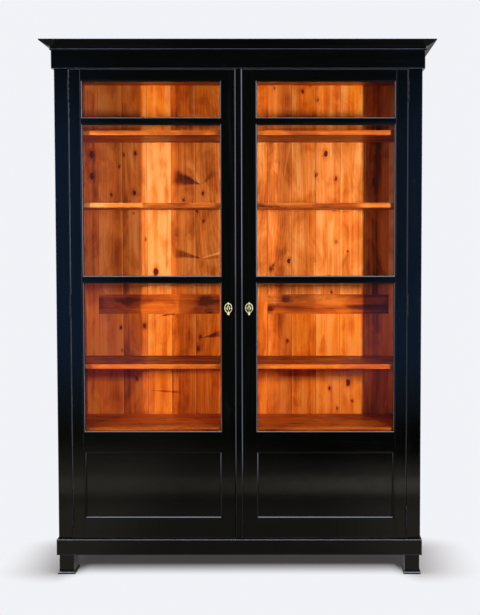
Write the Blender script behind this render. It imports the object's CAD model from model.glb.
# %% [markdown]
# # A tall black bookcase with glass doors
# The real thing is a case of ebonised wood: black outside, honey-coloured pine inside, two doors with
# three panes each over a sunk wooden panel, and two pierced brass escutcheons.
# The joinery comes ready as a fixed frame of named parts. This lesson adds what the frame lacks:
# the finishes, the room, the lamps and the camera.

# %% Load the frame
import math

import bpy
import numpy as np
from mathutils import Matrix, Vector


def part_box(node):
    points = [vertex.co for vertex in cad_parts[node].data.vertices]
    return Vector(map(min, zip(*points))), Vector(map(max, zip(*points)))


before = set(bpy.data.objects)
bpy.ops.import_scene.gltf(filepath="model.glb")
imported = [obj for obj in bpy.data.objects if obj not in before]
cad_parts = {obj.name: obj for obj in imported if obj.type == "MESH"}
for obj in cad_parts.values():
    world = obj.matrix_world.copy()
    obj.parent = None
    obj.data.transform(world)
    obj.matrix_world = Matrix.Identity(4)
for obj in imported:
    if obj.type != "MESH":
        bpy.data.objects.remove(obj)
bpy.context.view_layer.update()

# %% [markdown]
# ## Sides of a part
# Many patterns follow the joinery: wear sits on corners, and the black stops where the inside begins.
# Their places could be typed in again. Asking the frame for them, part by part, is better, because
# then they follow a board that is made wider or moved.

# %% Where a side is


def side(part, name):
    """The place of a part's side in metres; a side is an axis and - or +, so y- is the front."""
    low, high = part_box(part)
    corner = high if name[1] == "+" else low
    return round(corner["xyz".index(name[0])], 4)


def planes(part, *names):
    """The planes of some sides of a part, each as its axis and its place."""
    return [(name[0], side(part, name)) for name in names]


def both(*names):
    """The left part and the right part of each of these names."""
    return [hand + "_" + name for hand in ("left", "right") for name in names]


print("the doors' front is at y =", side("left_lock_stile", "y-"), "m")

# %% [markdown]
# ## Camera
# Furniture like this is shown nearly square on, from about chest height, with the lens tipped down a
# little, so that its verticals draw together downwards by a hair. Turning the camera sideways would
# make the shelves slope. A small sideways shift of the lens keeps them level, and lets the camera
# stand right of the middle, where more of the left-hand side of the inside is seen.

# %% Camera
image_wide, image_high = 480, 615
focal_pixels = 1154.5
middle_column, middle_row = 299.0, 302.9  # where the lens axis meets the image
sensor_size = 36  # millimetres along the image's longer side
eye = (0.229, -4.570, 1.278)
tipped_down = 3.07  # degrees

lens = bpy.data.cameras.new("camera")
lens.lens = sensor_size * focal_pixels / image_high
lens.sensor_width = sensor_size
lens.shift_x = (image_wide / 2 - middle_column) / image_high
lens.shift_y = (middle_row - image_high / 2) / image_high
lens.clip_end = 200
camera = bpy.data.objects.new("camera", lens)
camera.location = eye
camera.rotation_euler = (math.radians(90 - tipped_down), 0, 0)
bpy.context.scene.collection.objects.link(camera)
bpy.context.scene.camera = camera
bpy.context.scene.view_settings.view_transform = "Standard"
print("lens", round(lens.lens, 1), "mm, shift", round(lens.shift_x, 3), round(lens.shift_y, 3))

# %% [markdown]
# ## Arithmetic on sockets
# A finish is a sum of many small patterns. Placing Math nodes by hand hides that sum, so one class
# wraps a socket and turns Python's own operators into nodes: 1 - mask adds a Subtract node. Every
# other kind of node comes from one method, add. Colours and vectors never pass through a Math node,
# which would turn them grey: they have mix and the Vector Math node.

# %% One class for sockets


class Wire:
    """An output socket of a node, or with no socket, just a tree to add nodes to."""

    def __init__(self, tree, socket=None):
        self.tree, self.socket = tree, socket

    def add(self, kind, settings=(), inputs=(), out=0):
        """A node of a kind: its settings first, a ramp's stops among them, then its sockets."""
        node = self.tree.nodes.new("ShaderNode" + kind)
        for name, value in dict(settings).items():
            if name == "stops":
                while len(node.color_ramp.elements) < len(value):
                    node.color_ramp.elements.new(0.5)
                for stop, (place, colour) in zip(node.color_ramp.elements, value):
                    stop.position, stop.color = place, (*colour, 1)
            else:
                setattr(node, name, value)
        for name, value in dict(inputs).items():
            socket = node.inputs[name]
            if isinstance(value, Wire):
                self.tree.links.new(value.socket, socket)
            else:
                socket.default_value = value
        return Wire(self.tree, node.outputs[out] if len(node.outputs) else None)

    def math(self, operation, *values):
        """A Math node on this value and others."""
        return self.add("Math", {"operation": operation}, dict(enumerate([self, *values])))

    def __add__(self, other):
        return self.math("ADD", other)

    def __sub__(self, other):
        return self.math("SUBTRACT", other)

    def __mul__(self, other):
        return self.math("MULTIPLY", other)

    def __truediv__(self, other):
        return self.math("DIVIDE", other)

    def __pow__(self, other):
        return self.math("POWER", other)

    def __rsub__(self, other):
        return self.add("Math", {"operation": "SUBTRACT"}, {0: other, 1: self})

    def __rtruediv__(self, other):
        return self.add("Math", {"operation": "DIVIDE"}, {0: other, 1: self})

    def __neg__(self):
        return self * -1

    def __abs__(self):
        return self.math("ABSOLUTE")

    __radd__, __rmul__ = __add__, __mul__

    def step(self, low, high, start=0, end=1):
        """Goes smoothly from start to end as the value goes from low to high."""
        return self.add(
            "MapRange", {"interpolation_type": "SMOOTHSTEP"}, {0: self, 1: low, 2: high, 3: start, 4: end}
        )

    def mix(self, colour_a, colour_b):
        """Colour a where this value is 0, colour b where it is 1."""
        node = self.add("Mix", {"data_type": "RGBA"}, {"Factor": self}, 2).socket.node
        for place, colour in ((6, colour_a), (7, colour_b)):
            if isinstance(colour, Wire):
                self.tree.links.new(colour.socket, node.inputs[place])
            else:
                node.inputs[place].default_value = (*colour, 1)
        return Wire(self.tree, node.outputs[2])

    def stretched(self, by, shift=(0, 0, 0)):
        """A vector multiplied by another, then moved."""
        return self.add("VectorMath", {"operation": "MULTIPLY_ADD"}, {0: self, 1: by, 2: shift})

    def noise(self, scale, detail=2.0, roughness=0.5, distortion=0.0):
        """A cloudy value around one half, read at this vector."""
        return self.add(
            "TexNoise",
            inputs={
                "Vector": self,
                "Scale": scale,
                "Detail": detail,
                "Roughness": roughness,
                "Distortion": distortion,
            },
        )


def linear(red, green, blue):
    """A colour written as on a screen, 0 to 255, as the light that it stands for.

    Screens follow a straight line near black, and above it a power of 2.4 of the shifted share.
    """
    share = np.array([red, green, blue]) / 255
    light = np.where(share < 0.04045, share / 12.92, ((share + 0.055) / 1.055) ** 2.4)
    return tuple(float(value) for value in light)


print("half grey is", round(linear(128, 128, 128)[0], 3), "of white's light")

# %% [markdown]
# A finish starts as an empty material with a place to read object coordinates, which on these parts
# are plain metres from the middle of the case. It ends with a Principled shader: only what changes
# over the surface is linked, and a number that is the same everywhere is set on its socket.

# %% Start and end of a finish


def new_finish(name, colour):
    """(material, wire): an empty material, and the place on the object in metres."""
    material = bpy.data.materials.new(name)
    material.use_nodes = True
    material.node_tree.nodes.clear()
    material.diffuse_color = (*colour, 1)
    place = Wire(material.node_tree).add("TexCoord", out="Object")
    return material, place


def close_finish(material, shader):
    """Leads a shader to the surface."""
    Wire(material.node_tree).add("OutputMaterial", inputs={"Surface": shader})
    print(material.name, "has", len(material.node_tree.nodes), "nodes")
    return material


def dress(finish, *names):
    """Puts a finish on parts of the frame."""
    for name in names:
        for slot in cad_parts[name].material_slots:
            slot.material = finish


# %% [markdown]
# ## Pine
# A board is a flat slice of a tree, and its grain is where the slice cuts the yearly rings. So the
# pattern needs no drawing: each point's distance from the heart of its tree, divided by the width of
# a ring, says in which year it grew, and how far through it. The pale early wood darkens slowly and
# ends in a sharp dark line. A heart that lies at a slant under the board gives the pointed arches of
# real boards, and a knot is a place where that distance swells, with a dark round end of a branch in
# it.

# %% Rings of a tree
ring_width = 0.0042
heart_aside, heart_slant = 0.12, 0.10  # the ranges of the heart's place aside and of its slope
heart_depth, depth_range = 0.010, 0.05  # how far below 0 on the into axis it lies, and how much more
bend_reach, ripple_reach = 0.060, 0.0045  # how far slow bends and small ripples move a ring
wood_tones = [  # from palest early wood to the dark of a branch
    (0.00, (0.95, 0.42, 0.130)),
    (0.28, (0.82, 0.235, 0.038)),
    (0.55, (0.58, 0.135, 0.016)),
    (0.80, (0.33, 0.055, 0.007)),
    (1.00, (0.10, 0.015, 0.008)),
]
palest_wood, pale_wood, darkest_wood = wood_tones[0][1], wood_tones[1][1], wood_tones[4][1]


def parts_of(vector):
    """The x, y and z of a vector, by name."""
    split = vector.add("SeparateXYZ", inputs={0: vector}).socket.node
    return {axis: Wire(vector.tree, output) for axis, output in zip("xyz", split.outputs)}


def along_axis(axis, lengthwise, crosswise):
    """A scale for each of x, y and z: one value along the grain, another across it."""
    return tuple(lengthwise if name == axis else crosswise for name in "xyz")


def tree_rings(place, grain, boards, swell):
    """(years, a random colour for each board) at a place; grain names the axes along, across, into.

    The distance from the heart is the root of (across - heart)² + (into + depth)², where the depth
    changes slowly along the board, plus slow noises and the swell round the knots. Divided by the
    width of a ring it is a number of years.
    """
    along, across, into = grain
    value = parts_of(place)
    number = boards(value)
    lots = number.add("TexWhiteNoise", {"noise_dimensions": "1D"}, {"W": number}, "Color")
    lot = parts_of(lots)
    shift = lots.stretched((31.0, 17.0, 23.0))  # each board reads the noises in another place
    bend = place.stretched(along_axis(along, 1.3, 8.0), shift).noise(1.0, 2.0)
    ripple = place.stretched(along_axis(along, 5.0, 34.0), shift).noise(1.0, 3.0)
    heart = value[across] + (lot["x"] - 0.5) * heart_aside
    slant = value[along] * (lot["y"] - 0.5) * heart_slant
    depth = value[into] + slant + lot["z"] * depth_range + heart_depth
    distance = (heart * heart + depth * depth).math("SQRT")
    distance = distance + bend * bend_reach + ripple * ripple_reach + swell
    return distance / ring_width, lots


print("a ring is", ring_width * 1000, "mm wide, and its colours have", len(wood_tones), "stops")

# %% [markdown]
# A knot is the round end of a branch, a little longer than wide, with a ragged rim, and the rings
# bend round it. Where the saw ran along the branch instead of across it, the branch shows as a dark
# wedge that ends in a point at the heart. Both are worked out from distances, so that each one can be
# put where a real board has it.

# %% Knots and branches
rag = 0.011  # how far the rim of a knot wanders
knot_squeeze = 0.62  # a knot's width as a share of its length
tip_width = 0.0008  # of a branch that was cut lengthwise


def knots_at(place, grain, knots):
    """(dark share, halo, swell): each knot is (across, along, radius, strength)."""
    along, across, into = grain
    ragged = place.add("TexNoise", inputs={"Vector": place, "Scale": 75.0}, out=1)
    warped = ragged.stretched((rag,) * 3, place)
    flat = tuple(0.0 if axis == into else knot_squeeze if axis == along else 1.0 for axis in "xyz")
    on_board = warped.stretched(flat, tuple(-rag / 2 * share for share in flat))
    dark = halo = swell = None
    for beside, long, radius, strength in knots:
        where = {across: beside, along: long, into: 0.0}
        middle = tuple(where[axis] * share for axis, share in zip("xyz", flat))
        gap = on_board.add("VectorMath", {"operation": "DISTANCE"}, {0: on_board, 1: middle}, 1)
        core = gap.step(radius * 0.65, radius * 1.25, strength, 0.0)  # the end of the branch
        ring = gap.step(radius * 1.0, radius * 3.0, strength, 0.0)  # darker wood round it
        lift = gap.step(0.0, radius * 4.0, radius * 0.9, 0.0)  # how far it pushes the rings aside
        dark = core if dark is None else dark.math("MAXIMUM", core)
        halo = ring if halo is None else halo.math("MAXIMUM", ring)
        swell = lift if swell is None else swell + lift
    return dark, halo, swell


def branch_at(place, grain, tip, butt, half_width, strength):
    """A dark wedge from its tip to its butt, each (across, along); a strength below 0 makes it pale.

    It is full where the distance off its middle line is less than its width there, and that width
    grows with the run from the tip.
    """
    along, across, _ = grain
    value = parts_of(place)
    length = math.dist(tip, butt)
    step_across, step_along = (butt[0] - tip[0]) / length, (butt[1] - tip[1]) / length
    beside, long = value[across] - tip[0], value[along] - tip[1]
    run = beside * step_across + long * step_along
    off = abs(long * step_across - beside * step_along)
    curl = place.noise(28.0, 3.0) * 0.8 + 0.6
    width = run * (half_width / length) + tip_width
    within = (off / width * curl).step(0.35, 1.05, strength, 0.0)
    past_tip = run.step(-0.002, 0.004)
    before_butt = run.step(length * 0.85, length * 1.25, 1.0, 0.0)
    return within * past_tip * before_butt


print("a knot's rim wanders by", rag * 500, "mm each way")

# %% [markdown]
# The boards were varnished long ago, and the varnish has turned them orange. The tone of the wood is
# a sum: bands of darker years, the late wood of each year, clouds, streaks, the lot of each board, and
# the knots. The varnish shines softly, and its surface rises and falls with the grain, because late
# wood is harder and stands proud. A painted or printed grain would repeat itself, and a sum of
# patterns never does.

# %% Tone of pine
band_share, late_share, cloud_share = 0.30, 0.13, 0.40  # how much each pattern darkens the wood
streak_share, lot_share, halo_share, knot_share = 0.75, 0.26, 0.26, 0.8


def pine_tone(place, grain, boards, knots=(), branches=()):
    """(tone from 0, palest, to 1, darkest; height of the fibre; random colour for each board)"""
    dark, halo, swell = knots_at(place, grain, knots) if knots else (0.0, 0.0, 0.0)
    years, lots = tree_rings(place, grain, boards, swell)
    year = years.math("FRACT")
    late = year.step(0.25, 0.86) * year.step(0.9, 1.0, 1.0, 0.0)
    slow = years * 0.10
    bands = slow.add("TexNoise", {"noise_dimensions": "1D"}, {"W": slow, "Scale": 1.0, "Detail": 3.0})
    shift = lots.stretched((9.0, 5.0, 7.0))
    cloud = place.stretched(along_axis(grain[0], 6.0, 13.0), shift).noise(1.0, 4.0, 0.58, 0.8)
    streak = place.stretched(along_axis(grain[0], 3.0, 120.0), shift).noise(1.0, 4.0, 0.7)
    lot = parts_of(lots)["y"]
    tone = bands.step(0.36, 0.70) * band_share + late * late_share + cloud.step(0.36, 0.72) * cloud_share
    tone = tone + (streak - 0.5) * streak_share + (lot - 0.5) * lot_share + halo * halo_share
    for branch in branches:
        tone = tone + branch_at(place, grain, *branch)
    tone = tone + dark * knot_share
    fibre = late * 0.4 + streak * 0.5 + bands * 0.5
    return tone, fibre, lots


golden = (1.0, 0.64, 0.15, 1)  # what old varnish lets through of red, green and blue
redder_pale, redder_dark = (0.82, 0.18, 0.030), (0.11, 0.014, 0.008)


def wood_colour(tone, lots, place, grain):
    """The tone's colour, a deeper gold low down and high up, and in some boards a little redder."""
    colour = tone.add("ValToRGB", {"stops": wood_tones}, {0: tone})
    settings = {"data_type": "RGBA", "blend_type": "MULTIPLY"}
    gold = colour.add("Mix", settings, {"Factor": 1.0}, 2).socket.node
    place.tree.links.new(colour.socket, gold.inputs[6])
    gold.inputs[7].default_value = golden
    height = parts_of(place)["z"]
    low_down = height.step(0.88, 1.20, 0.95, 0.12)
    high_up = height.step(1.64, 1.76, 0.0, 0.7)
    varied = place.stretched(along_axis(grain[0], 2.5, 24.0)).noise(1.0, 2.0).step(0.3, 0.7, -0.35, 0.35)
    share = low_down + high_up + varied
    colour = share.step(0.0, 1.0).mix(colour, Wire(place.tree, gold.outputs[2]))
    redder = tone.step(0.0, 1.0).mix(redder_pale, redder_dark)
    return (parts_of(lots)["z"] * 0.4).mix(colour, redder)


# %% [markdown]
# A finish for one kind of board needs only to know how the board lies: which axis runs along it,
# which across it and which into it. The rest is the same for every piece of pine in the case, so one
# function makes them all.

# %% Varnished pine
# the axes along, across and into: uprights, cross rails, shelves, side walls, battens
upright, level_back, level_shelf, side_wall, front_to_back = "zxy", "xzy", "xyz", "zyx", "yzx"


def whole(value):
    """One board: the same number everywhere on a side of the case."""
    return value["x"].math("SIGN") * 3.0 + 7.0


def pine(name, grain, boards, knots=(), branches=(), seam=None, shade=0.0):
    """A varnished pine finish; grain names the axes along the boards, across them and into them.

    A shade is a number or a function of the place, and makes the wood darker by so much of its tone.
    """
    material, place = new_finish(name, pale_wood)
    tone, fibre, lots = pine_tone(place, grain, boards, knots, branches)
    tone = tone + (shade(parts_of(place)) if callable(shade) else shade)
    wood = wood_colour(tone, lots, place, grain)
    if seam is not None:
        gap, lip = seam(place)
        wood = (lip * 0.30).mix(wood, palest_wood)
        wood = (gap * 0.6).mix(wood, darkest_wood)
        fibre = fibre - gap * 3.0
    dull = place.noise(14.0, 3.0).step(0.35, 0.7, 0.38, 0.54)
    bump = fibre.add("Bump", inputs={"Height": fibre, "Strength": 0.5, "Distance": 0.0005})
    shader = wood.add(
        "BsdfPrincipled",
        inputs={"Base Color": wood, "Roughness": dull, "Normal": bump, "Specular IOR Level": 0.25},
    )
    return close_finish(material, shader)


# %% [markdown]
# ## The back of the case
# Ten upright boards fill the back, five on each side of a wide middle post. They come from different
# trees, so each has a number, counted outwards from the post, and the number picks its own rings. The
# joint between two boards is where that count passes a whole number: a dark line, with the planed
# edge beside it a little pale.

# %% Boards and joints of the back
post_half = side("back_muntin", "x+")
boards_each_side = 5
board_width = (side("back_rails", "x+") - post_half) / boards_each_side
first_number = 8  # of the board beside the post; -8 on the left


def boards_out(value):
    """How many boards out from the edge of the middle post a place is."""
    return (abs(value["x"]) - post_half) / board_width


def back_board_number(value):
    """The whole boards passed, with the first number of that side added."""
    return boards_out(value).math("FLOOR") + value["x"].math("SIGN") * float(first_number)


def back_seam(place):
    """(joint, pale lip beside it): the joint is where the count less its floor is near 0 or 1."""
    share = boards_out(parts_of(place)).math("FRACT")
    joint = abs(share - 0.5).step(0.485, 0.497)
    lip = share.step(0.012, 0.03) * share.step(0.04, 0.07, 1.0, 0.0)
    return joint, lip


print("the back's boards are", round(board_width * 1000, 1), "mm wide")

# %% [markdown]
# Knots could be strewn at random, but then they would fall in the wrong places: the eye knows a real
# board by its two or three big knots. So each one has a place, a radius and a strength, and so has
# each branch that was cut lengthwise.

# %% Knots of the back
# across, up, radius and strength of each knot
back_knots = [
    (-0.494, 1.633, 0.0035, 0.8),
    (-0.446, 1.639, 0.0055, 1.0),
    (-0.512, 1.585, 0.0035, 0.8),
    (-0.546, 1.470, 0.0055, 0.7),
    (-0.450, 1.476, 0.0065, 1.0),
    (-0.169, 1.474, 0.0050, 0.8),
    (-0.247, 1.449, 0.0050, 0.6),
    (-0.455, 1.393, 0.0030, 0.8),
    (-0.192, 1.402, 0.0035, 0.7),
    (-0.165, 1.360, 0.0040, 0.7),
    (-0.405, 1.284, 0.0030, 0.8),
    (-0.365, 1.150, 0.0105, 1.0),
    (-0.511, 0.919, 0.0050, 0.9),
    (-0.412, 0.925, 0.0060, 1.0),
    (-0.182, 0.879, 0.0050, 0.8),
    (-0.190, 0.831, 0.0045, 0.8),
    (-0.507, 0.824, 0.0040, 0.8),
    (-0.446, 0.705, 0.0050, 0.9),
    (0.243, 1.892, 0.0050, 0.9),
    (0.128, 1.905, 0.0045, 0.7),
    (0.274, 1.921, 0.0045, 0.7),
    (0.306, 1.855, 0.0050, 0.8),
    (0.340, 1.637, 0.0080, 0.9),
    (0.539, 1.519, 0.0042, 0.9),
    (0.300, 1.549, 0.0060, 0.6),
    (0.382, 1.535, 0.0055, 0.6),
    (0.374, 1.411, 0.0040, 0.8),
    (0.384, 1.276, 0.0060, 0.4),
    (0.432, 1.234, 0.0028, 0.8),
    (0.187, 1.195, 0.0065, 1.0),
    (0.122, 1.179, 0.0030, 0.8),
    (0.113, 1.163, 0.0055, 0.9),
    (0.364, 1.066, 0.0035, 0.8),
    (0.180, 0.863, 0.0040, 0.8),
    (0.434, 0.688, 0.0095, 1.0),
    (0.356, 0.665, 0.0045, 0.7),
    (0.452, 0.612, 0.0040, 0.7),
    (0.388, 0.581, 0.0045, 0.8),
]
# tip, butt, half width at the butt and strength of each branch
back_branches = [
    ((-0.178, 1.511), (-0.280, 1.540), 0.042, 0.50),
    ((-0.178, 1.511), (-0.235, 1.540), 0.011, 0.35),
    ((-0.182, 1.516), (-0.222, 1.600), 0.020, -0.22),
    ((-0.176, 1.510), (-0.120, 1.560), 0.018, 0.20),
    ((-0.176, 1.207), (-0.273, 1.226), 0.022, 0.50),
    ((-0.176, 1.207), (-0.100, 1.229), 0.005, -0.35),
    ((-0.172, 1.203), (-0.095, 1.214), 0.010, 0.25),
    ((-0.345, 0.966), (-0.290, 0.980), 0.012, 0.60),
    ((-0.172, 0.877), (-0.100, 0.892), 0.017, 0.60),
    ((-0.390, 0.656), (-0.282, 0.650), 0.007, 0.45),
    ((0.332, 0.890), (0.325, 0.815), 0.032, 0.26),
    ((0.166, 1.529), (0.189, 1.684), 0.011, -0.22),
]
print(len(back_knots), "knots and", len(back_branches), "branches on the back")

# %% [markdown]
# Boards that were bought as separate lots also darken differently. A table says how much darker than
# usual each board is, half way up and at its ends, and the shade slides from one to the other.

# %% Lots of boards
# number of a board, how much darker it is half way up, and at its ends
board_lots = [
    (-8, 0.21, 0.12),
    (-7, 0.12, 0.12),
    (-6, -0.22, -0.16),
    (-5, 0.15, 0.12),
    (-4, -0.05, -0.15),
    (8, 0.09, 0.04),
    (9, -0.07, -0.12),
    (10, 0.05, -0.10),
    (11, 0.05, -0.13),
    (12, 0.56, 0.20),
]


def half_way(value):
    """1 from the cross rail up to the top shelf, 0 above and below."""
    return value["z"].step(0.97, 1.05) * value["z"].step(1.70, 1.80, 1.0, 0.0)


def back_shade(value):
    """Each board's own shade, from the table: the value at its ends plus half_way's share of the rest."""
    number, middle, shade = back_board_number(value), half_way(value), 0.0
    for board, at_middle, at_ends in board_lots:
        this_one = abs(number - board).step(0.4, 0.6, 1.0, 0.0)
        shade = this_one * (middle * (at_middle - at_ends) + at_ends) + shade
    return shade


dress(
    pine("pine_back_boards", upright, back_board_number, back_knots, back_branches, back_seam, back_shade),
    "back_boards",
)

# %% [markdown]
# The boards sit in a frame of wider wood: a stile at each side, the middle post and a dark cross
# rail. Dust that the draught carried in between the doors has drawn an upright stripe down the front
# of the middle post.

# %% Uprights and cross rail
stile_knots = [(-0.625, 1.633, 0.0085, 1.0), (-0.625, 1.544, 0.0080, 0.9), (-0.06, 1.2, 0.008, 0.8)]
post_front = side("back_muntin", "y-")
stripe_x = -0.035  # behind the gap between the doors, as the camera sees it


def upright_shade(value):
    """The stripe, where x is near its own and on the front only; and the left stile's shade.

    That stile is 0.34 paler than usual near its ends, and 0.52 darker than that half way up.
    """
    stripe = abs(value["x"] - stripe_x).step(0.006, 0.014, 1.0, 0.0)
    stripe = stripe * value["y"].step(post_front + 0.0002, post_front + 0.0006, 1.0, 0.0)
    left = value["x"].step(-0.6, -0.5, 1.0, 0.0)
    return stripe + left * (half_way(value) * 0.52 - 0.34)


dress(
    pine("pine_back_uprights", upright, whole, stile_knots, shade=upright_shade),
    "back_stiles",
    "back_muntin",
)
rail_knots = [
    (1.034, -0.162, 0.0110, 1.0),
    (0.981, -0.140, 0.0065, 0.9),
    (1.034, 0.173, 0.0090, 0.8),
    (0.995, 0.111, 0.0060, 0.9),
]


def rail_shade(value):
    """The rail is dark, darkest at its right end, and paler at x = -0.33 m and 0.36 m."""
    pale_left = abs(value["x"] + 0.33).step(0.04, 0.16, 0.26, 0.0)
    pale_right = abs(value["x"] - 0.36).step(0.04, 0.14, 0.30, 0.0)
    return value["x"].step(0.0, 0.5, 0.36, 0.62) - (pale_left + pale_right)


dress(pine("pine_back_rails", level_back, whole, rail_knots, shade=rail_shade), "back_rails")

# %% [markdown]
# ## Shelves
# A shelf board lies flat, with its grain from side to side. The level boards that are seen share one
# finish, and the height tells them apart, so that each gets other rings. Old varnish has gone dark on
# the tops, where books lay, and underneath, and has been polished pale on the fronts by hands.

# %% Shelves
shelf_knots = [
    (0.02, -0.31, 0.006, 0.8),
    (-0.05, 0.22, 0.008, 0.9),
    (0.12, 0.41, 0.006, 0.8),
    (0.1, -0.12, 0.005, 0.8),
]
shelf_front = side("middle_shelf", "y-")
middle_level = (side("middle_shelf", "z-") + side("middle_shelf", "z+")) / 2


def shelf_number(value):
    """A number for each level of boards, 11 cm apart or more."""
    return (value["z"] * 9.0).math("FLOOR")


def low_shelf_tone(value):
    """Tops get darker from the fixed board up to the lower shelf, and less so from the middle one.

    The fixed board's top has worn pale at x = -0.33 m and, a little, at 0.25 m.
    """
    fixed = value["z"].step(0.55, 0.7, 1.0, 0.0)
    worn_left = abs(value["x"] + 0.33).step(0.10, 0.24, 0.24, 0.0)
    worn_right = abs(value["x"] - 0.25).step(0.10, 0.24, 0.06, 0.0)
    rising = value["z"].step(0.55, 0.7, 0.16, 0.66) - value["z"].step(1.0, 1.2, 0.0, 0.32)
    return rising - (worn_left + worn_right) * fixed


def shelf_shade(value):
    """How much darker a place on a shelf is.

    Tops and undersides are darker than fronts. The middle shelf's front is pale only at its ends, and
    the fronts above it are the palest.
    """
    up = parts_of(Wire(value["x"].tree).add("NewGeometry", out="Normal"))["z"]
    front = value["y"].step(shelf_front + 0.0001, shelf_front + 0.0003, 1.0, 0.0)
    middle = abs(value["z"] - middle_level).step(0.015, 0.020, 1.0, 0.0)
    between = value["x"].step(-0.374, -0.366) * value["x"].step(0.43, 0.49, 1.0, 0.0)
    top = up.step(0.8, 0.98)
    tilt = up.step(0.8, 0.98, 0.06, 0.0) + top * low_shelf_tone(value) + up.step(-0.98, -0.8, 0.16, 0.0)
    return tilt + front * middle * between * 0.5 - front * value["z"].step(1.6, 1.65) * 0.2


dress(
    pine("pine_shelves", level_shelf, shelf_number, shelf_knots, shade=shelf_shade),
    "upper_shelf",
    "middle_shelf",
    "lower_shelf",
    "fixed_board",
    "ceiling_board",
)

# %% [markdown]
# The bottom board lies behind the lower panels, where nobody polishes it, and the battens and the
# toothed racks that carry the shelves are plain sticks, a little darker than the boards.

# %% Bottom, battens and racks
underside = side("bottom_board", "z-")


def bottom_shade(value):
    """Dim above, and darkest underneath, where the board was never cleaned."""
    return value["z"].step(underside + 0.0024, underside + 0.0028, 1.2, 0.45)


dress(pine("pine_bottom", level_shelf, shelf_number, shelf_knots, shade=bottom_shade), "bottom_board")
dress(pine("pine_battens", front_to_back, whole, shade=0.1), "shelf_battens", "fixed_board_cleats")
dress(pine("pine_racks", side_wall, whole, shade=0.1), "shelf_racks")

# %% [markdown]
# ## Ebonised wood
# The black is dyed wood under many thin rubs of shellac: nearly no colour of its own, and a deep,
# slightly wavy gloss. What tells the eye that it is wood and not plastic is small: open pores along
# the grain, faint rub marks, pale specks where it is chipped, brown wear on the edges that hands and
# feet meet, and dust on the ledges.
# Wear needs to know where the edges are. Each edge is where two planes of the joinery meet, so the
# greater of the distances to the two planes is small only there.

# %% Black polish
deep_black, grey_black = (0.0006, 0.0007, 0.0007), (0.0036, 0.0034, 0.0032)
pore_black, soot_black = (0.0050, 0.0042, 0.0038), (0.001, 0.001, 0.001, 1)
chipped, rubbed_brown = linear(92, 82, 72), linear(78, 62, 52)
worn_pale, dusty = linear(104, 112, 134), linear(96, 91, 84)
wall_shade = 0.12  # how much darker the pine of the side walls is


def near_edges(value, faces):
    """The distance from the nearest line where two faces, each (axis, place), meet."""
    near = {}
    for axis, at in faces:
        gap = abs(value[axis] - at)
        near[axis] = gap if axis not in near else near[axis].math("MINIMUM", gap)
    edge = None
    axes = sorted(near)
    for number, one in enumerate(axes):
        for two in axes[number + 1 :]:
            far = near[one].math("MAXIMUM", near[two])
            edge = far if edge is None else edge.math("MINIMUM", far)
    return edge


def black_polish(name, along="z", worn=(), inside=None, raw=()):
    """Ebonised wood with its grain along an axis.

    Edges where two of the worn faces meet are rubbed. Where inside is 1, the wood is pine instead.
    Faces at a raw x, which are the narrow ones in the gaps, are soot-black and reflect nothing.
    """
    material, place = new_finish(name, (0.002, 0.002, 0.0025))
    value = parts_of(place)
    pore = place.stretched(along_axis(along, 14.0, 520.0)).noise(1.0, 2.0, 0.6).step(0.60, 0.74)
    wisp = place.stretched(along_axis(along, 2.2, 60.0)).noise(1.0, 4.0, 0.62, 0.8).step(0.52, 0.80)
    smear = place.noise(19.0, 4.0, 0.62, 0.4)
    speck = place.noise(240.0, 1.0).step(0.77, 0.80) * place.noise(9.0, 2.0).step(0.50, 0.66)
    black = wisp.mix(deep_black, grey_black)
    black = (pore * 0.3).mix(black, pore_black)
    black = (speck * 0.7).mix(black, chipped)
    edge = near_edges(value, worn)
    if edge is not None:
        chip = place.noise(70.0, 4.0, 0.7)
        rubbed = (edge + chip * 0.007).step(0.0030, 0.0042, 1.0, 0.0)
        black = (rubbed * 0.7).mix(black, rubbed_brown)
        black = edge.step(0.0008, 0.0020, 0.5, 0.0).mix(black, worn_pale)
    up = Wire(place.tree).add("NewGeometry", out="Normal")
    top = parts_of(up)["z"].step(0.8, 0.98)
    dust = top * smear.step(0.3, 0.7, 0.15, 0.45)
    black = (dust * 0.4).mix(black, dusty)
    gloss = smear.step(0.35, 0.75, 0.05, 0.10) + wisp * 0.05 + pore * 0.06 + dust * 0.4 + speck * 0.3
    height = place.noise(5.0, 1.0) - pore * 0.03 - speck * 0.06
    bump = height.add("Bump", inputs={"Height": height, "Strength": 0.3, "Distance": 0.0006})
    if inside is not None:
        mask = inside(value)
        tone, _, lots = pine_tone(place, side_wall, whole)
        black = mask.mix(black, wood_colour(tone + wall_shade, lots, place, side_wall))
        gloss = gloss + mask * 0.35
    shader = black.add(
        "BsdfPrincipled",
        inputs={"Base Color": black, "Roughness": gloss, "Normal": bump, "Specular IOR Level": 0.5},
    )
    for at in raw:
        hidden = abs(value["x"] - at).step(0.0001, 0.0003, 1.0, 0.0)
        soot = hidden.add("BsdfDiffuse", inputs={"Color": soot_black})
        shader = hidden.add("MixShader", inputs={"Fac": hidden, 1: shader, 2: soot})
    return close_finish(material, shader)


# %% [markdown]
# The doors' grain turns with the wood: up along the stiles, sideways along the rails and bars. The
# faces of the stiles in the gaps round the doors get no polish, so those gaps stay dark.

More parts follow.
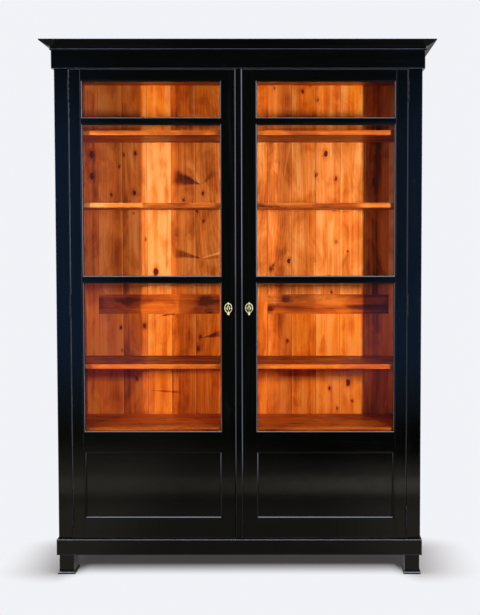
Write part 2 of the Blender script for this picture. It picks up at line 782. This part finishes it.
# %% Doors
door_edges = planes("left_lock_stile", "y-", "z-", "z+")
door_gap_faces = (
    side("left_hinge_stile", "x-"),
    side("left_lock_stile", "x+"),
    side("right_hinge_stile", "x+"),
)
dress(
    black_polish("black_stiles", "z", door_edges + planes("left_hinge_stile", "x-"), raw=door_gap_faces),
    *both("hinge_stile", "lock_stile"),
)
dress(
    black_polish("black_door_rails", "x", door_edges),
    *both("top_rail", "lock_rail", "bottom_rail", "glazing_bars"),
)
dress(black_polish("black_mouldings", "x"), *both("glazing_beads", "panel_moulding"))
dress(black_polish("black_panels", "x"), *both("lower_panel"))
dress(black_polish("black_astragal", "z", planes("astragal", "x+", "y-")), "astragal")

# %% [markdown]
# Outside, each group of pieces shares a finish, worn where the box of its front piece has corners.
# The cornice has one more edge, at the small step under its slope, so that edge is added by hand.

# %% Outside of the case
post_faces = planes("left_front_post", "x-", "y-") + planes("right_front_post", "x+")
post_gap_faces = (side("left_front_post", "x+"), side("right_front_post", "x-"))
dress(black_polish("black_posts", "z", post_faces, raw=post_gap_faces), *both("front_post"))
dress(
    black_polish("black_frieze", "x", planes("frieze_front", "x-", "x+", "y-", "z-")),
    "frieze_front",
    "frieze_sides",
)
fillet_out, fillet_up = 0.0055, 0.0055  # the small step under the slope of the cornice
cornice_faces = planes("cornice_front", "x-", "x+", "y-", "z+") + [
    ("y", side("cornice_front", "y+") - fillet_out),
    ("z", side("cornice_front", "z-") + fillet_up),
]
dress(
    black_polish("black_cornice", "x", cornice_faces),
    "cornice_front",
    "cornice_returns",
    "cornice_cover",
)
dress(
    black_polish("black_base", "x", planes("base_front", "x-", "x+", "y-", "z-", "z+")),
    "base_front",
    "base_sides",
    "base_back",
)
dress(
    black_polish("black_feet", "z", planes("front_feet", "x-", "x+", "y-", "z-")),
    "front_feet",
    "back_feet",
)

# %% [markdown]
# The side walls are black outside and varnished pine inside, though each piece of a wall goes right
# through it. So the finish changes at a depth: nearer the middle of the case than a little past the
# wall's inner face, it is pine.

# %% Side walls
wall_inside = side("shelf_racks", "x+")  # the racks stand against the inner faces of the walls
panel_thickness = 0.010
panel_inside = side("side_panels", "x+") - panel_thickness


def inner_wall(value):
    """1 on the inner faces of the walls' frames."""
    return abs(value["x"]).step(wall_inside + 0.0002, wall_inside + 0.0006, 1.0, 0.0)


def inner_panel(value):
    """1 on the inner faces of the walls' panels."""
    return abs(value["x"]).step(panel_inside + 0.0002, panel_inside + 0.0006, 1.0, 0.0)


dress(
    black_polish("black_side_frames", "z", planes("side_rails", "x-", "x+"), inner_wall),
    "side_rails",
    "back_posts",
)
dress(black_polish("black_side_panels", "z", inside=inner_panel), "side_panels")

# %% [markdown]
# ## Glass
# Old window glass is nearly invisible: most light goes straight through, and a share that grows as
# the pane turns edge-on mirrors the room. Mixing a Transparent and a Glossy shader does that without
# bending the light, so lamps still shine through. The share is close to Schlick's rule: a small
# number plus a large share of the fifth power of how edge-on the surface is. Slow waves in the
# surface come from glass that was blown and flattened by hand, and a thin film of dirt adds a little.

# %% Panes
head_on_share, edge_on_share = 0.018, 0.9
glass, place = new_finish("old_window_glass", (0.85, 0.88, 0.86))
waves = place.noise(5.0, 2.0) + place.noise(38.0, 1.0) * 0.04
wavy = waves.add("Bump", inputs={"Height": waves, "Strength": 0.3, "Distance": 0.0012})
clear = waves.add("BsdfTransparent", inputs={"Color": (0.985, 0.992, 0.986, 1)})
mirror = waves.add("BsdfGlossy", inputs={"Color": (1, 1, 1, 1), "Roughness": 0.02, "Normal": wavy})
facing = waves.add("LayerWeight", inputs={"Blend": 0.5}, out="Facing")
film = place.noise(11.0, 4.0, 0.6).step(0.45, 0.8, 0.0, 0.008)
mirror_share = facing**5 * edge_on_share + head_on_share + film
pane = facing.add("MixShader", inputs={"Fac": mirror_share, 1: clear, 2: mirror})
dress(close_finish(glass, pane), *both("glass_panes"))

# %% [markdown]
# ## Brass, iron and steel
# The escutcheons are pressed brass that has gone pale and patchy. The hinges are dark iron, and the
# lock and bolts are plain drawn steel. One function makes all three: a metal with duller stains and
# fine scratches.
# The brass plates are pierced, and from a few metres away their finest cuts run together. So the
# finish stands in for those cuts, with a blackened ring, four bridges across it and a blackened slot.

# %% Metals
black_in_brass = linear(16, 14, 9)


def metal(name, bright, dull, shine, metallic=1.0, engraved=None):
    """A metal, bright where rubbed and dull where stained; where engraved is 1, it is blackened."""
    material, place = new_finish(name, bright)
    stain = place.noise(140.0, 4.0, 0.65)
    scratch = place.stretched((900.0, 900.0, 60.0)).noise(1.0, 2.0)
    colour = stain.step(0.40, 0.68).mix(bright, dull)
    rough = stain.step(0.35, 0.7, shine, shine + 0.2) + scratch * 0.08
    if engraved is not None:
        cut = engraved(parts_of(place))
        colour = cut.mix(colour, black_in_brass)
        rough = rough + cut * 0.4
    height = scratch * 0.4 + stain
    bump = height.add("Bump", inputs={"Height": height, "Strength": 0.25, "Distance": 0.0002})
    shader = colour.add(
        "BsdfPrincipled",
        inputs={"Base Color": colour, "Roughness": rough, "Metallic": metallic, "Normal": bump},
    )
    return close_finish(material, shader)


plate_x, plate_z = 0.0395, 1.0225  # the middle of the plates, whose pair sits a little to the left
pair_shift = 0.0005
half_wide, half_tall = 0.0148, 0.0195


def engraved_ring(value):
    """A ring and a slot in each plate, in shares of its half size.

    The ring is where the root of across² + upward² is 0.63, give or take 0.2, and four bridges break
    it where the cosine of four times the angle is near 1. The slot is a small upright box.
    """
    across = (abs(value["x"] + pair_shift) - plate_x) / half_wide
    upward = (value["z"] - plate_z) / half_tall
    out = (across * across + upward * upward).math("SQRT")
    ring = abs(out - 0.63).step(0.18, 0.23, 1.0, 0.0)
    bridges = (across.math("ARCTAN2", upward) * 4.0).math("COSINE").step(0.88, 0.98, 1.0, 0.0)
    slot = abs(across).step(0.17, 0.24, 1.0, 0.0) * abs(upward + 0.08).step(0.30, 0.42, 1.0, 0.0)
    return (ring * bridges).math("MAXIMUM", slot)


dress(
    metal("pale_brass", linear(250, 248, 196), linear(196, 184, 126), 0.3, 0.3, engraved_ring),
    *both("escutcheon"),
)
dress(
    metal("hinge_iron", linear(44, 42, 42), linear(20, 18, 18), 0.38),
    "case_hinge_leaves",
    "hinge_pins",
    *both("door_hinge_leaves"),
)
dress(
    metal("plain_steel", linear(176, 174, 170), linear(112, 106, 100), 0.3),
    "lock_case",
    "lock_bolt",
    "top_bolt",
    "bottom_bolt",
    "bolt_plates",
)

# %% [markdown]
# ## The room
# Black polish shows the room it stands in, so the room matters more than the lamps. In front of the
# case it is dark, with cool daylight at both sides, two tall bright windows further round and a pale
# ceiling. Behind the case it is dim, with a soft glow at the far left and right, which lights up the
# polish of the side walls. What is seen directly is a plain near-white. The world holds all of it: a
# ray from the camera gets the near-white, and a mirrored ray gets the room in its own direction.

# %% World
paper = linear(241.5, 242.5, 247)
dark_room, cool_wall = (0.035, 0.045, 0.045), (0.085, 0.205, 0.46)
left_window, right_window = (5.0, 5.5, 6.6), (7.8, 8.7, 11.0)
ceiling_light, room_behind, side_glow = (3.0, 3.5, 4.5), (0.15, 0.15, 0.16), (0.9, 0.98, 1.15)
soft_fill = (0.06, 0.06, 0.062)  # what matt surfaces get from every side
world = bpy.data.worlds.new("room")
bpy.context.scene.world = world
world.use_nodes = True
world.node_tree.nodes.clear()
sky = Wire(world.node_tree)
towards = parts_of(sky.add("TexCoord", out="Generated"))
forwards = abs(towards["y"]) + 0.001
sideways, upwards = towards["x"] / forwards, towards["z"] / forwards


def daylight(sideways):
    """Cool light at both sides of a dark middle: from 9 degrees on the left, 5 on the right."""
    return sideways.step(-0.20, -0.15, 1.0, 0.0) + sideways.step(0.065, 0.105)


low = upwards.step(0.07, 0.18, 1.0, 0.0)
wall = (daylight(sideways) * low).mix(dark_room, cool_wall)
# the windows are from 33 degrees aside to 80, and from 14 degrees below eye level to 40 above
window = abs(sideways).step(0.65, 0.85) * abs(sideways).step(4.5, 6.0, 1.0, 0.0)
window = window * towards["z"].step(-0.25, -0.12) * towards["z"].step(0.55, 0.65, 1.0, 0.0)
pane_light = sideways.step(-0.1, 0.1).mix(left_window, right_window)
wall = window.mix(wall, pane_light)
wall = towards["z"].step(0.45, 0.65).mix(wall, ceiling_light)
mirrored = towards["y"].step(-0.12, 0.02, 1.0, 0.0).mix(room_behind, wall)
beside = abs(towards["x"]).step(0.90, 0.98) * towards["z"].step(0.1, 0.6, 1.0, 0.2)
mirrored = beside.mix(mirrored, side_glow)


def seen_straight(tree):
    """(camera or transmission, mirror): how a ray came to be looking."""
    path = Wire(tree).add("LightPath").socket.node.outputs
    seen = [Wire(tree, path["Is %s Ray" % kind]) for kind in ("Camera", "Transmission", "Glossy")]
    return seen[0].math("MAXIMUM", seen[1]), seen[2]


straight, glossy = seen_straight(world.node_tree)
shown = straight.mix(glossy.mix(soft_fill, mirrored), paper)
sky.add("OutputWorld", inputs={"Surface": sky.add("Background", inputs={"Color": shown, "Strength": 1.0})})
print("the room has", len(world.node_tree.nodes), "nodes")

# %% [markdown]
# ## Floor
# The floor is plain and pale. Near the case it is a real surface that takes the soft dark shadow
# under the base. Further out it fades, by distance from the case, into the flat near-white of the
# room, so that it has no edge.

# %% Floor and its shadow
reach = 30.0
shadow_half, shadow_back = 0.66, 0.20  # how far the shadow's dark part goes aside and back
aside_spread = 1.5  # the shadow fades this much more slowly to the sides
floor_mesh = bpy.data.meshes.new("floor")
floor_mesh.from_pydata(
    [(-reach, -reach, 0), (reach, -reach, 0), (reach, reach, 0), (-reach, reach, 0)], [], [(0, 1, 2, 3)]
)
floor = bpy.data.objects.new("floor", floor_mesh)
bpy.context.scene.collection.objects.link(floor)
floor_finish, place = new_finish("pale_floor", paper)
value = parts_of(place)
out = abs(value["x"])
in_front = -value["y"]
shadow_start = out.step(0.58, 0.70, 0.03, 0.15)
out_x = (out - shadow_half).math("MAXIMUM", 0.0) / aside_spread
out_y = (in_front - shadow_start).math("MAXIMUM", value["y"] - shadow_back).math("MAXIMUM", 0.0)
away = (out_x * out_x + out_y * out_y).math("SQRT").step(0.0, 0.20, 0.05, 1.0)
print("the floor reaches", reach, "m each way")

# %% [markdown]
# In the polish it is the dim floor of the dark room instead. A band of light crosses it 1.8 m from
# the middle of the case, far off it meets the cool walls, and the windows glint in it far out at the
# sides. Beside and behind the case it is grey, and paler further out. A second floor could be built
# for this, but one floor that answers mirrored rays in its own way needs no second lighting.

# %% Floor as the polish sees it
sunlit, shaded_floor = (1.0, 0.95, 0.80), (0.075, 0.11, 0.13)
left_glint, right_glint = (2.5, 2.8, 3.3), (3.9, 4.4, 5.6)
grey_beside, pale_beside = (0.12, 0.12, 0.12), (0.55, 0.60, 0.66)
dim_strip, bright_strip = 1.42, 1.78  # how far in front of the middle of the case
dim = out.step(0.30, 0.75, 0.17, 0.34) * abs(in_front - dim_strip).step(0.0, 0.25, 0.7, 1.0)
band = abs(in_front - bright_strip).step(0.10, 0.28, 1.0, 0.0) * value["x"].step(-0.3, 0.5, 0.18, 0.42)
left_share = value["x"].step(-0.3, 0.5, 0.48, 0.12)
dim = dim * (left_share + (1 - left_share) * in_front.step(1.95, 2.7, 1.0, 0.0))
near = (band + dim * in_front.step(2.6, 3.3, 1.0, 0.4)).mix((0, 0, 0), sunlit)
by_the_wall = in_front.step(3.5, 9.5).mix(shaded_floor, cool_wall)
far = daylight(value["x"] / (in_front + 0.01)).mix(dark_room, by_the_wall)
dim_floor = in_front.step(3.4, 4.6).mix(near, far)
slant = out / (abs(in_front) + 0.01)
glint = slant.step(0.70, 0.90) * slant.step(4.5, 6.0, 1.0, 0.0) * out.step(1.5, 2.3)
dim_floor = glint.mix(dim_floor, value["x"].step(-0.1, 0.1).mix(left_glint, right_glint))
floor_beside = out.step(0.9, 2.6).mix(grey_beside, pale_beside)
dim_floor = in_front.step(0.0, 0.2).mix(floor_beside, dim_floor)

# %% [markdown]
# One mix of a matt surface and a flat glow does both jobs. What the eye sees straight turns from matt
# to glow as it gets away from the case. A mirrored ray always gets the glow, with the dim colours.

# %% Join the two floors
straight, glossy = seen_straight(place.tree)
matt = place.add("BsdfDiffuse", inputs={"Color": (*linear(238, 232, 231), 1)})
flat = place.add("Emission", inputs={"Color": glossy.mix(paper, dim_floor), "Strength": 1.0})
flat_share = (away * straight).math("MAXIMUM", glossy)
ground = place.add("MixShader", inputs={"Fac": flat_share, 1: matt, 2: flat})
floor_mesh.materials.append(close_finish(floor_finish, ground))

# %% [markdown]
# ## Lamps
# Two lamps stand in front at shoulder height, the nearer one on the right. They are narrow, so the
# door posts draw clear upright shadows on the back of the case, and a little tall, so the shelves'
# shadows are soft. Each shines into a cone, which dims towards the top and bottom of the case. A wide
# soft lamp overhead lights the floor and draws thin bright lines along the mouldings.

# %% Lamps
def lamp(name, place, target, size, watts, colour, spread, mirrored=False):
    """A rectangular lamp at a place, facing a target, shining into a cone of so many degrees."""
    light = bpy.data.lights.new(name, "AREA")
    light.shape, light.size, light.size_y = "RECTANGLE", *size
    light.energy, light.color, light.spread = watts, colour, math.radians(spread)
    thing = bpy.data.objects.new(name, light)
    bpy.context.scene.collection.objects.link(thing)
    step = np.array(target, float) - np.array(place, float)
    thing.location = place
    thing.rotation_euler = (
        math.atan2(math.hypot(step[0], step[1]), -step[2]),
        0,
        math.atan2(step[1], step[0]) - math.pi / 2,
    )
    thing.visible_glossy = mirrored
    thing.visible_camera = False
    print(name, watts, "W, lamp to target", round(float(np.linalg.norm(step)), 2), "m")


lamp(
    "right_lamp",
    place=(1.206, -2.615, 1.37),
    target=(0.45, 0.2, 1.30),
    size=(0.05, 0.25),
    watts=11.8,
    colour=(1.0, 0.97, 0.93),
    spread=66,
)
lamp(
    "left_lamp",
    place=(-2.32, -4.19, 1.40),
    target=(-0.70, 0.2, 1.31),
    size=(0.10, 0.25),
    watts=7.4,
    colour=(1.0, 0.96, 0.92),
    spread=32,
)
lamp(
    "overhead_lamp",
    place=(0.0, -0.10, 3.4),
    target=(0.0, -0.099, 0.0),
    size=(3.2, 1.6),
    watts=22,
    colour=(1.0, 1.0, 1.0),
    spread=70,
    mirrored=True,
)
